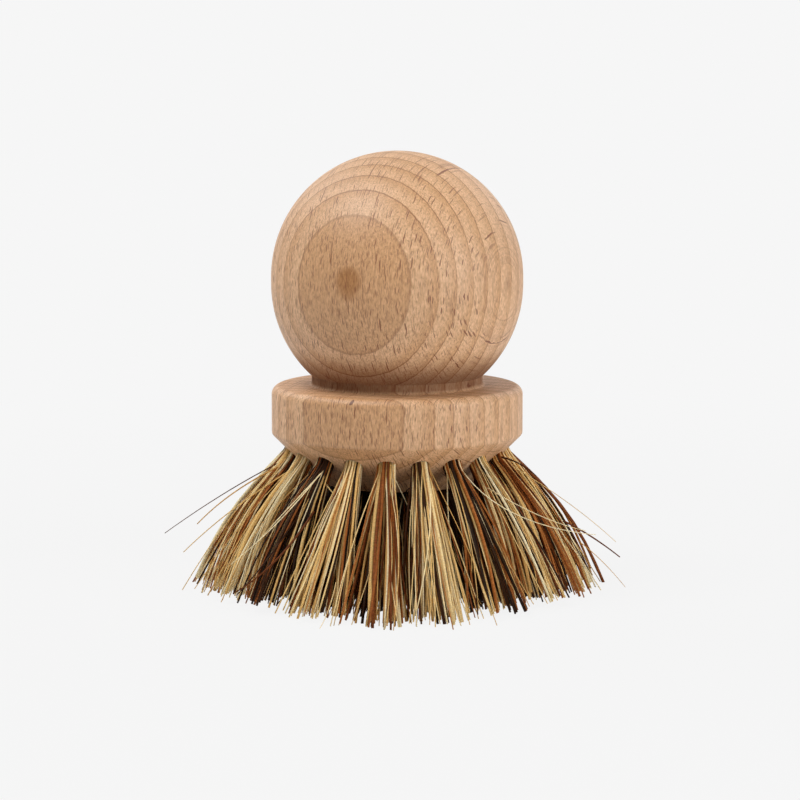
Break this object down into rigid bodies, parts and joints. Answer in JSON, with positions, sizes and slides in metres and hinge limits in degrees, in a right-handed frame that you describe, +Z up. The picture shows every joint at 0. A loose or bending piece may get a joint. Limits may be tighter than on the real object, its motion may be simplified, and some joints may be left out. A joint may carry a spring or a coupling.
{
  "type": "palm brush",
  "caption": "Hand brush with a round turned wooden knob for the palm, and rings of stiff natural fibre tufts that splay out from the cone under its disc.",
  "frame": {"origin": "on the knob's axis, in the plane of the trimmed fibre tips on which the brush stands", "axes": "+Z up along the knob's axis, from the fibre tips to the top of the ball; -Y towards the viewer of the picture"},
  "size_m": [0.0824, 0.0824, 0.0866],
  "materials": {
    "beech": "matt, untreated turned beech with ray flecks",
    "straw_fibre": "dry, slightly glossy plant fibre, straw to golden",
    "russet_fibre": "dry, slightly glossy plant fibre, russet brown",
    "dark_fibre": "dry, slightly glossy plant fibre, dark brown",
    "staple_wire": "tinned wire"
  },
  "bodies": {
    "root": {"ball_knob": "beech", "tuft_disc": "beech", "outer_tuft_01": "russet_fibre", "outer_tuft_02": "straw_fibre", "outer_tuft_03": "dark_fibre", "outer_tuft_04": "straw_fibre", "outer_tuft_05": "russet_fibre", "outer_tuft_06": "straw_fibre", "outer_tuft_07": "dark_fibre", "outer_tuft_08": "russet_fibre", "outer_tuft_09": "russet_fibre", "outer_tuft_10": "straw_fibre", "outer_tuft_11": "russet_fibre", "outer_tuft_12": "straw_fibre", "outer_tuft_13": "dark_fibre", "outer_tuft_14": "straw_fibre", "outer_tuft_15": "russet_fibre", "outer_tuft_16": "straw_fibre", "outer_tuft_17": "dark_fibre", "outer_tuft_18": "russet_fibre", "outer_tuft_19": "russet_fibre", "outer_tuft_20": "straw_fibre", "middle_tuft_01": "dark_fibre", "middle_tuft_02": "dark_fibre", "middle_tuft_03": "dark_fibre", "middle_tuft_04": "dark_fibre", "middle_tuft_05": "dark_fibre", "middle_tuft_06": "dark_fibre", "middle_tuft_07": "dark_fibre", "middle_tuft_08": "dark_fibre", "middle_tuft_09": "dark_fibre", "middle_tuft_10": "dark_fibre", "middle_tuft_11": "dark_fibre", "middle_tuft_12": "dark_fibre", "middle_tuft_13": "dark_fibre", "middle_tuft_14": "dark_fibre", "inner_tuft_01": "dark_fibre", "inner_tuft_02": "dark_fibre", "inner_tuft_03": "dark_fibre", "inner_tuft_04": "dark_fibre", "inner_tuft_05": "dark_fibre", "inner_tuft_06": "dark_fibre", "inner_tuft_07": "dark_fibre", "centre_tuft": "dark_fibre", "outer_staples": "staple_wire", "middle_staples": "staple_wire", "inner_staples": "staple_wire", "centre_staple": "staple_wire"}
  },
  "joints": []
}
